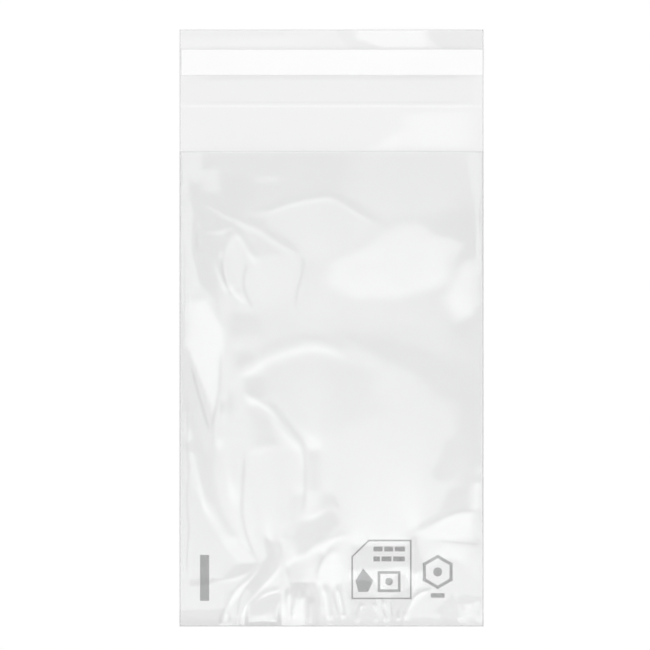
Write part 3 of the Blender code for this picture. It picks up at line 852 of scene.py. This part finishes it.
@dataclass
class FilmFinish(Finish):
    """Clear film. Each face of it mirrors a little of the room, and more when it is seen aslant.

    Three masks of its pieces paint shade into its colour and density: painted shade along creases, and
    painted dark reflections, one bluish and one grey.
    """

    name: str = "clear_film"
    tint: Colour = (0.55, 0.555, 0.56)
    # Painted shade and painted reflections: tints and density gains that darken the film where its masks lie
    crease_shade_tint: Colour = (0.3, 0.3, 0.31)
    bluish_painted_reflection_tint: Colour = (0.52, 0.52, 0.56)
    bluish_painted_reflection_gain: float = 0.05
    grey_painted_reflection_tint: Colour = (0.45, 0.45, 0.45)
    grey_painted_reflection_gain: float = 0.05
    mirror: float = 0.096
    haze_gain: float = 0.012
    slant_gain: float = 0.4
    # Painted shade along creases: extra density where the crease mask lies
    crease_shade_gain: float = 0.045
    slant_blend: float = 0.12
    roughness: tuple[float, float] = (0.13, 0.17)
    metallic: float = 0.9

    def build(self) -> bpy.types.Material:
        """Builds the material."""
        self.start()
        self.shader.inputs["Metallic"].default_value = self.metallic
        slant = self.tree.nodes.new("ShaderNodeLayerWeight")
        slant.inputs["Blend"].default_value = self.slant_blend
        # Paints shade along creases and dark reflections into the film's colour and density
        crease_shade_mask, cast, grey_painted_reflection = self._mask("crease_shade"), self._mask("cast"), self._mask("grey_painted_reflection")
        tint = self.mix(grey_painted_reflection, self.tint, self.grey_painted_reflection_tint)
        tint = self.mix(cast, tint, self.bluish_painted_reflection_tint)
        self.link(self.mix(crease_shade_mask, tint, self.crease_shade_tint), "Base Color")
        alpha = add_math(self.tree, "MULTIPLY", slant.outputs["Facing"], self.slant_gain)
        gains = (
            (crease_shade_mask, self.crease_shade_gain),
            (cast, self.bluish_painted_reflection_gain),
            (grey_painted_reflection, self.grey_painted_reflection_gain),
            (self.wear.outputs["Haze"], self.haze_gain),
        )
        for mask, gain in gains:
            alpha = add_math(self.tree, "MULTIPLY_ADD", mask, gain, alpha)
        self.link(add_math(self.tree, "ADD", alpha, self.mirror), "Alpha")
        self.link(self.vary(self.wear.outputs["Streaks"], *self.roughness), "Roughness")
        return self.material

    def _mask(self, name: str) -> bpy.types.NodeSocket:
        """Reads one of the film's own masks."""
        node = self.tree.nodes.new("ShaderNodeAttribute")
        node.attribute_name = name
        return node.outputs["Fac"]


@dataclass
class WeldFinish(Finish):
    """Film that a hot blade has cut and sealed: denser and a little grey."""

    name: str = "sealed_film"
    tint: Colour = (0.42, 0.42, 0.43)
    density: tuple[float, float] = (0.1, 0.16)
    metallic: float = 0.5
    roughness: float = 0.35

    def build(self) -> bpy.types.Material:
        """Builds the material."""
        self.start()
        self.shader.inputs["Metallic"].default_value = self.metallic
        self.shader.inputs["Roughness"].default_value = self.roughness
        self.shader.inputs["Base Color"].default_value = (*self.tint, 1.0)
        self.link(self.vary(self.wear.outputs["Haze"], *self.density), "Alpha")
        return self.material


@dataclass
class AdhesiveFinish(Finish):
    """A clear band of glue, slightly cloudy."""

    name: str = "clear_adhesive"
    tint: Colour = (0.9, 0.9, 0.88)
    density: tuple[float, float] = (0.18, 0.34)
    roughness: tuple[float, float] = (0.12, 0.3)

    def build(self) -> bpy.types.Material:
        """Builds the material."""
        self.start()
        self.shader.inputs["Base Color"].default_value = (*self.tint, 1.0)
        self.link(self.vary(self.wear.outputs["Streaks"], *self.roughness), "Roughness")
        self.link(self.vary(self.wear.outputs["Haze"], *self.density), "Alpha")
        return self.material


@dataclass
class ReleaseFinish(Finish):
    """White release film with a silky coating."""

    name: str = "white_release_film"
    pale: Colour = (0.965, 0.965, 0.965)
    dull: Colour = (0.93, 0.93, 0.93)
    roughness: tuple[float, float] = (0.3, 0.5)
    coat: float = 0.3
    ripple_height: float = 0.00002

    def build(self) -> bpy.types.Material:
        """Builds the material."""
        self.start()
        self.link(self.mix(self.wear.outputs["Haze"], self.pale, self.dull), "Base Color")
        self.link(self.vary(self.wear.outputs["Streaks"], *self.roughness), "Roughness")
        self.shader.inputs["Coat Weight"].default_value = self.coat
        self.bump(self.wear.outputs["Ripple"], self.ripple_height)
        return self.material


@dataclass
class InkFinish(Finish):
    """Grey ink printed on the outside of the lower wall, with faint pin holes."""

    name: str = "grey_ink"
    dark: Colour = (0.30, 0.30, 0.30)
    worn: Colour = (0.38, 0.38, 0.38)
    roughness: tuple[float, float] = (0.5, 0.7)
    pin_hole_size: float = 400.0

    def build(self) -> bpy.types.Material:
        """Builds the material."""
        self.start()
        self.wear.inputs["Haze Size"].default_value = self.pin_hole_size
        self.link(self.mix(self.wear.outputs["Haze"], self.dark, self.worn), "Base Color")
        self.link(self.vary(self.wear.outputs["Streaks"], *self.roughness), "Roughness")
        return self.material


@dataclass
class BagFilm:
    """The film: the upper wall over the lower wall, which runs on as the flap."""

    sizes: BagSizes
    upper_finish: FilmFinish = field(default_factory=lambda: FilmFinish("clear_film", mirror=0.106))
    lower_finish: FilmFinish = field(default_factory=lambda: FilmFinish("clear_film_under", mirror=0.082))
    body_pillow: Pillow = Pillow(3.0, 0.9, 1.8, 52.0, 4.0)
    flap_pillow: Pillow = Pillow(0.0, 1.0, 0.3, 0.0, 0.0)
    columns: int = 140
    crowding: float = 0.3
    fine_length: float = 44.0
    fine_rows: int = 80
    rows: int = 188
    lower_rows: int = 40
    flap_columns: int = 150
    flap_rows: int = 100

    def build(self) -> None:
        """Builds and dresses both walls."""
        s = self.sizes
        self.body_relief = FilmRelief(
            s.width, 0.0, s.body, self.body_pillow, BODY_FACETS, BODY_FOLDS, BODY_CREASE_SHADES,
            BODY_PAINTED_REFLECTIONS,
        )
        self.flap_relief = FilmRelief(
            s.width, s.body, s.length, self.flap_pillow, FLAP_FACETS, FLAP_FOLDS, FLAP_CREASE_SHADES,
            FLAP_PAINTED_REFLECTIONS, clearance=0.0,
        )
        walls = {self._upper_wall(): self.upper_finish, self._lower_wall(): self.lower_finish}
        for wall, finish in walls.items():
            wall.data.materials.append(finish.build())
            hand_in(wall, Slot.FILM, "bag_film")

    def _upper_wall(self) -> bpy.types.Object:
        """The wall that faces the camera, from the foot fold to the lip."""
        s = self.sizes
        relief = self.body_relief
        fine = crowded(2 * self.columns, s.width, self.crowding)
        coarse = fine[::2]
        along = np.linspace(0.0, self.fine_length, self.fine_rows + 1).tolist()
        along += np.linspace(self.fine_length, s.body, self.rows + 1)[1:].tolist()
        sheet = Sheet([fine] * (self.fine_rows + 1) + [coarse] * self.rows, along)
        under = s.film + relief.sample(relief.height, sheet.across, sheet.lengthwise)
        LOG.info("upper wall reaches %.2f mm", under.max())
        wall = sheet.solid("film_upper_wall", s, under, s.film)
        # Masks of painted crease shade and of a painted grey reflection
        add_mask(wall, "crease_shade", relief.sample(relief.crease_shade, sheet.across, sheet.lengthwise))
        add_mask(wall, "grey_painted_reflection", relief.sample(relief.cast, sheet.across, sheet.lengthwise))
        return wall

    def _lower_wall(self) -> bpy.types.Object:
        """The wall underneath, with the flap beyond the lip."""
        s = self.sizes
        relief = self.flap_relief
        across = np.linspace(0.0, s.width, self.flap_columns + 1)
        along = np.linspace(0.0, s.body, self.lower_rows, endpoint=False).tolist()
        along += np.linspace(s.body, s.length, self.flap_rows + 1).tolist()
        sheet = Sheet([across] * len(along), along)
        on_flap = sheet.lengthwise > s.body
        under, crease_shade, cast = (
            np.where(on_flap, relief.sample(values, sheet.across, sheet.lengthwise), 0.0)
            for values in (relief.height, relief.crease_shade, relief.cast)
        )
        wall = sheet.solid("film_lower_wall", s, under, s.film)
        # Masks of painted crease shade and of a painted bluish reflection
        add_mask(wall, "crease_shade", crease_shade)
        add_mask(wall, "cast", cast)
        return wall

    def flap_height(self, across: np.ndarray, along: np.ndarray) -> np.ndarray:
        """Height of the flap's upper face, or of the lower wall's where there is no flap."""
        raised = self.flap_relief.sample(self.flap_relief.height, across, along)
        return np.where(along > self.sizes.body, raised, 0.0) + self.sizes.film


@dataclass
class SealStrip:
    """The adhesive band across the flap and the white release strip over it."""

    film: BagFilm
    centre: float = 278.4
    release_width: float = 13.0
    release_inset: float = 0.75
    release_thickness: float = 0.08
    release_lift: float = 0.14
    adhesive_width: float = 8.0
    adhesive_inset: float = 1.5
    adhesive_thickness: float = 0.04
    adhesive_lift: float = 0.05
    columns: int = 220
    release_rows: int = 18
    adhesive_rows: int = 8
    ripple_heights: tuple[float, float] = (0.03, 0.02)
    ripple_lengths: tuple[float, float] = (7.3, 3.1)

    def build(self) -> None:
        """Builds and dresses both bands."""
        adhesive = self._band(
            "adhesive_band", self.adhesive_width, self.adhesive_inset, self.adhesive_lift,
            self.adhesive_thickness, self.adhesive_rows,
        )
        adhesive.data.materials.append(AdhesiveFinish().build())
        hand_in(adhesive, Slot.ADHESIVE, "adhesive_strip")
        release = self._band(
            "release_liner", self.release_width, self.release_inset, self.release_lift,
            self.release_thickness, self.release_rows,
        )
        release.data.materials.append(ReleaseFinish().build())
        hand_in(release, Slot.RELEASE, "release_strip")

    def _band(
        self, name: str, width: float, inset: float, lift: float, thickness: float, rows: int
    ) -> bpy.types.Object:
        """One band that follows the flap.

        Args:
            name: The piece's name.
            width: Size along the bag.
            inset: Distance from the left side of the bag, and three times that from the right.
            lift: Distance above the flap.
            thickness: Its own thickness.
            rows: How many cells it has along the bag.

        Returns:
            The band.
        """
        sizes = self.film.sizes
        across = np.linspace(inset, sizes.width - inset / 3, self.columns + 1)
        along = (self.centre + np.linspace(-width / 2, width / 2, rows + 1)).tolist()
        sheet = Sheet([across] * len(along), along)
        x, y = sheet.across, sheet.lengthwise
        share = (y - self.centre) / width
        (high, low), (long, short) = self.ripple_heights, self.ripple_lengths
        ripple = high * np.sin(x / long) * share + low * np.sin(x / short + 1.0) * share**2
        under = self.film.flap_height(x, y) + lift + np.abs(ripple)
        return sheet.solid(name, sizes, under, thickness)


@dataclass
class SealedEdges:
    """The lines where a hot blade cut and sealed the film, and the fold at the foot."""

    film: BagFilm
    side_width: float = 0.55
    end_width: float = 0.4
    height: float = 0.16
    steps: int = 300
    sides_round: int = 8

    def build(self) -> None:
        """Builds and dresses every line."""
        s = self.film.sizes
        material = WeldFinish().build()
        half = self.side_width / 2
        up = np.linspace(0.0, s.length, self.steps + 1)
        sides = {Side.LEFT: half, Side.RIGHT: s.width - half}
        lines = [
            self._bead(f"side_seal_{side.value}", np.full(up.shape, x), up, self.side_width)
            for side, x in sides.items()
        ]
        over = np.linspace(0.0, s.width, self.steps // 2 + 1)
        ends = {"foot_fold": self.end_width / 2, "flap_cut_edge": s.length - self.end_width / 2}
        lines += [self._bead(name, over, np.full(over.shape, y), self.end_width) for name, y in ends.items()]
        for line in lines:
            line.data.materials.append(material)
            hand_in(line, Slot.FILM, "bag_film")

    def _bead(self, name: str, x: np.ndarray, y: np.ndarray, width: float) -> bpy.types.Object:
        """One low round bead along a line.

        Args:
            name: The piece's name.
            x: Places across the bag.
            y: Places along the bag.
            width: Width of the bead.

        Returns:
            The bead.
        """
        sizes = self.film.sizes
        run = np.stack([np.gradient(x), np.gradient(y)], axis=-1)
        run /= np.linalg.norm(run, axis=-1, keepdims=True)
        base = self.film.flap_height(x, y) - sizes.film
        angles = np.linspace(0.0, 2 * math.pi, self.sides_round, endpoint=False)
        rings = []
        for angle in angles:
            off = math.cos(angle) * width / 2
            row_x, row_y = sizes.to_row(x - run[:, 1] * off, y + run[:, 0] * off)
            lift = base + self.height / 2 * (1 + math.sin(angle))
            rings.append(np.stack([row_x, row_y, lift], axis=-1))
        points = np.stack(rings, axis=1).reshape(-1, 3)
        count, around = len(x), len(angles)
        faces = []
        for i in range(count - 1):
            for j in range(around):
                k = (j + 1) % around
                faces.append((i * around + j, i * around + k, (i + 1) * around + k, (i + 1) * around + j))
        faces.append(tuple(reversed(range(around))))
        faces.append(tuple(range((count - 1) * around, count * around)))
        return add_piece(name, points, faces, len(faces))


@dataclass
class PrintedMarks:
    """Grey print on the outside of the lower wall, seen through both walls.

    A box is given by its left, low, right and high limits, and a broken bar by its middle and the
    limits of its pieces.
    """

    sizes: BagSizes
    depth: float = 0.03
    thickness: float = 0.02
    layer_step: float = 0.0005
    register_bar: tuple[float, float, float, float] = (10.1, 12.6, 14.6, 35.3)
    panel_outline: Path = ((85.2, 13.8), (114.1, 13.8), (114.1, 42.4), (93.4, 42.4), (85.2, 34.4))
    panel_line: float = 0.8
    broken_bars: tuple[tuple[float, tuple[float, ...]], ...] = (
        (38.2, (95.7, 100.2, 101.0, 105.4, 106.2, 111.2)),
        (33.3, (95.7, 98.9, 99.7, 104.6, 105.4, 111.2)),
    )
    broken_bar_height: float = 2.4
    drop_outline: Path = ((88.2, 17.0), (93.0, 17.0), (95.6, 22.6), (90.6, 28.6), (86.8, 22.6))
    window_outline: Path = ((98.4, 17.6), (108.4, 17.6), (108.4, 26.6), (98.4, 26.6))
    window_line: float = 1.3
    window_disc: tuple[float, float, float] = (103.4, 22.1, 1.9)
    ring_centre: Point = (127.4, 26.9)
    ring_radius: float = 7.6
    ring_line: float = 1.5
    ring_sides: int = 6
    ring_disc_radius: float = 2.2
    short_bar: tuple[float, float, float, float] = (124.0, 14.2, 130.8, 16.4)

    def build(self) -> None:
        """Builds and dresses every mark."""
        material = InkFinish().build()
        marks = (
            self._mark("register_bar", [self._box(*self.register_bar)]),
            self._mark("care_panel", self._care_panel()),
            self._mark("material_mark", self._material_mark()),
        )
        for mark in marks:
            mark.data.materials.append(material)
            hand_in(mark, Slot.FILM)

    @staticmethod
    def _box(x0: float, y0: float, x1: float, y1: float) -> list[Point]:
        """Corners of a box."""
        return [(x0, y0), (x1, y0), (x1, y1), (x0, y1)]

    @staticmethod
    def _stroke(outline: Path, width: float) -> list[list[Point]]:
        """Boxes along an outline, each as wide as the line and long enough to meet at the corners."""
        boxes = []
        for (ax, ay), (bx, by) in zip(outline, outline[1:] + outline[:1]):
            length = math.hypot(bx - ax, by - ay)
            ux, uy = (bx - ax) / length, (by - ay) / length
            h = width / 2
            boxes.append(
                [
                    (ax - ux * h - uy * h, ay - uy * h + ux * h),
                    (ax - ux * h + uy * h, ay - uy * h - ux * h),
                    (bx + ux * h + uy * h, by + uy * h - ux * h),
                    (bx + ux * h - uy * h, by + uy * h + ux * h),
                ]
            )
        return boxes

    @staticmethod
    def _disc(x: float, y: float, radius: float, sides: int = 20) -> list[Point]:
        """Corners of a disc."""
        turn = 2 * math.pi / sides
        return [(x + radius * math.cos(i * turn), y + radius * math.sin(i * turn)) for i in range(sides)]

    def _care_panel(self) -> list[list[Point]]:
        """An outlined panel with a cut corner, two broken bars and two plain shapes."""
        shapes = self._stroke(self.panel_outline, self.panel_line)
        half = self.broken_bar_height / 2
        for y, limits in self.broken_bars:
            shapes += [self._box(x0, y - half, x1, y + half) for x0, x1 in zip(limits[::2], limits[1::2])]
        shapes.append(list(self.drop_outline))
        shapes += self._stroke(self.window_outline, self.window_line)
        shapes.append(self._disc(*self.window_disc))
        return shapes

    def _material_mark(self) -> list[list[Point]]:
        """A six-sided ring with a disc in it and a short bar below."""
        x, y = self.ring_centre
        turns = [2 * math.pi * i / self.ring_sides for i in range(self.ring_sides)]
        ring = tuple((x + self.ring_radius * math.sin(t), y + self.ring_radius * math.cos(t)) for t in turns)
        shapes = self._stroke(ring, self.ring_line)
        shapes.append(self._disc(x, y, self.ring_disc_radius))
        shapes.append(self._box(*self.short_bar))
        return shapes

    def _mark(self, name: str, shapes: list[list[Point]]) -> bpy.types.Object:
        """Joins flat closed shapes into one thin piece just under the lower wall.

        Args:
            name: The piece's name.
            shapes: Corners of every shape.

        Returns:
            The piece.
        """
        points: list[tuple[float, float, float]] = []
        faces: list[tuple[int, ...]] = []
        top, bottom = -self.depth, -self.depth - self.thickness
        for shape in shapes:
            area = sum(
                ax * by - bx * ay for (ax, ay), (bx, by) in zip(shape, shape[1:] + shape[:1])
            )
            corners = shape if area > 0 else shape[::-1]
            first, count = len(points), len(corners)
            for z in (top, bottom):
                for x, y in corners:
                    row_x, row_y = self.sizes.to_row(x, y)
                    points.append((row_x, row_y, z))
            faces.append(tuple(first + i for i in range(count)))
            faces.append(tuple(first + count + i for i in reversed(range(count))))
            for i in range(count):
                j = (i + 1) % count
                faces.append((first + i, first + count + i, first + count + j, first + j))
            top, bottom = top - self.layer_step, bottom - self.layer_step
        return add_piece(name, np.array(points), faces, 0)


@dataclass(frozen=True)
class Panel:
    """A soft light, placed by the tilts from straight up that it covers, in degrees.

    x_from to x_to are tilts to the right and y_from to y_to are tilts to the lip.
    """

    name: str
    x_from: float
    x_to: float
    y_from: float
    y_to: float
    radiance: float


@dataclass
class Studio:
    """Pale floor, soft lights and the camera. Its sizes are in metres, and floor_drop in millimetres."""

    panels: tuple[Panel, ...] = (
        Panel("foot_light", -36.0, 36.0, -29.4, -7.4, 1.7),
        Panel("foot_light_edge", -36.0, 36.0, -7.4, -2.4, 0.8),
        Panel("lip_light", -30.0, 30.0, 20.0, 44.0, 1.0),
        Panel("left_light", -58.0, -34.0, -30.0, 30.0, 0.8),
        Panel("right_light", 34.0, 58.0, -30.0, 30.0, 0.8),
    )
    light_distance: float = 4.0
    camera_height: float = 4.0
    view_width: float = 0.3208
    view_centre: Point = (-0.00322, 0.0015)
    sensor_width: float = 36.0
    clip_end: float = 50.0
    ambient: float = 0.58
    see_through_layers: int = 24
    floor_drop: float = 0.16
    floor_half: float = 6.0
    floor_colour: Colour = (0.92, 0.92, 0.92)
    floor_roughness: float = 0.9
    floor_glow: float = 1.04
    floor_glow_share: float = 0.7

    def build(self) -> None:
        """Sets up everything around the bag."""
        self._floor()
        self._world()
        for panel in self.panels:
            self._light(panel)
        self._camera()
        bpy.context.scene.view_settings.view_transform = "Standard"
        bpy.context.scene.cycles.transparent_max_bounces = self.see_through_layers

    def _floor(self) -> None:
        """A wide pale floor just under the bag."""
        half, drop = self.floor_half, -self.floor_drop * MM
        mesh = bpy.data.meshes.new("floor")
        corners = [(-half, -half, drop), (half, -half, drop), (half, half, drop), (-half, half, drop)]
        mesh.from_pydata(corners, [], [(0, 1, 2, 3)])
        floor = bpy.data.objects.new("floor", mesh)
        bpy.context.scene.collection.objects.link(floor)
        material = bpy.data.materials.new("floor_paint")
        material.use_nodes = True
        tree = material.node_tree
        shader = tree.nodes["Principled BSDF"]
        shader.inputs["Base Color"].default_value = (*self.floor_colour, 1.0)
        shader.inputs["Roughness"].default_value = self.floor_roughness
        shader.inputs["Specular IOR Level"].default_value = 0.0
        glow = tree.nodes.new("ShaderNodeEmission")
        glow.inputs["Strength"].default_value = self.floor_glow
        mix = tree.nodes.new("ShaderNodeMixShader")
        share = add_math(tree, "MULTIPLY", self._seen(tree), self.floor_glow_share)
        tree.links.new(share, mix.inputs["Fac"])
        tree.links.new(shader.outputs["BSDF"], mix.inputs[1])
        tree.links.new(glow.outputs["Emission"], mix.inputs[2])
        tree.links.new(mix.outputs["Shader"], tree.nodes["Material Output"].inputs["Surface"])
        mesh.materials.append(material)

    @staticmethod
    def _seen(tree: bpy.types.NodeTree) -> bpy.types.NodeSocket:
        """1 for rays of the camera, of mirrors and of glass, and 0 for the rays that light things."""
        path = tree.nodes.new("ShaderNodeLightPath")
        first = add_math(tree, "MAXIMUM", path.outputs["Is Camera Ray"], path.outputs["Is Glossy Ray"])
        return add_math(tree, "MAXIMUM", first, path.outputs["Is Transmission Ray"])

    def _world(self) -> None:
        """Even soft light from all round, with a white background where it is seen."""
        world = bpy.data.worlds.new("studio")
        world.use_nodes = True
        bpy.context.scene.world = world
        tree = world.node_tree
        background = tree.nodes["Background"]
        background.inputs["Color"].default_value = (1.0, 1.0, 1.0, 1.0)
        strength = add_math(tree, "MULTIPLY_ADD", self._seen(tree), 1.0 - self.ambient, self.ambient)
        tree.links.new(strength, background.inputs["Strength"])

    def _light(self, panel: Panel) -> None:
        """One soft light, level and as large as the tilts that it covers."""
        tilt_x = math.radians((panel.x_from + panel.x_to) / 2)
        tilt_y = math.radians((panel.y_from + panel.y_to) / 2)
        height = self.light_distance * math.cos(max(abs(tilt_x), abs(tilt_y)))
        x_ends = [height * math.tan(math.radians(t)) for t in (panel.x_from, panel.x_to)]
        y_ends = [height * math.tan(math.radians(t)) for t in (panel.y_from, panel.y_to)]
        lamp = bpy.data.lights.new(panel.name, "AREA")
        lamp.shape = "RECTANGLE"
        lamp.size = x_ends[1] - x_ends[0]
        lamp.size_y = y_ends[1] - y_ends[0]
        lamp.energy = panel.radiance * math.pi * lamp.size * lamp.size_y
        light = bpy.data.objects.new(panel.name, lamp)
        light.location = (sum(x_ends) / 2, sum(y_ends) / 2, height)
        bpy.context.scene.collection.objects.link(light)

    def _camera(self) -> None:
        """A long lens straight above the bag, with the lip end up."""
        data = bpy.data.cameras.new("camera")
        data.sensor_width = self.sensor_width
        data.lens = data.sensor_width * self.camera_height / self.view_width
        data.clip_end = self.clip_end
        camera = bpy.data.objects.new("camera", data)
        camera.location = (*self.view_centre, self.camera_height)
        bpy.context.scene.collection.objects.link(camera)
        bpy.context.scene.camera = camera


def main() -> None:
    """Builds the bag and the studio."""
    logging.basicConfig(level=logging.INFO, format="%(name)s: %(message)s")
    sizes = BagSizes.from_frame()
    LOG.info("bag %.1f by %.1f mm", sizes.width, sizes.length)
    film = BagFilm(sizes)
    film.build()
    SealStrip(film).build()
    SealedEdges(film).build()
    PrintedMarks(sizes).build()
    Studio().build()


if __name__ == "__main__":
    main()
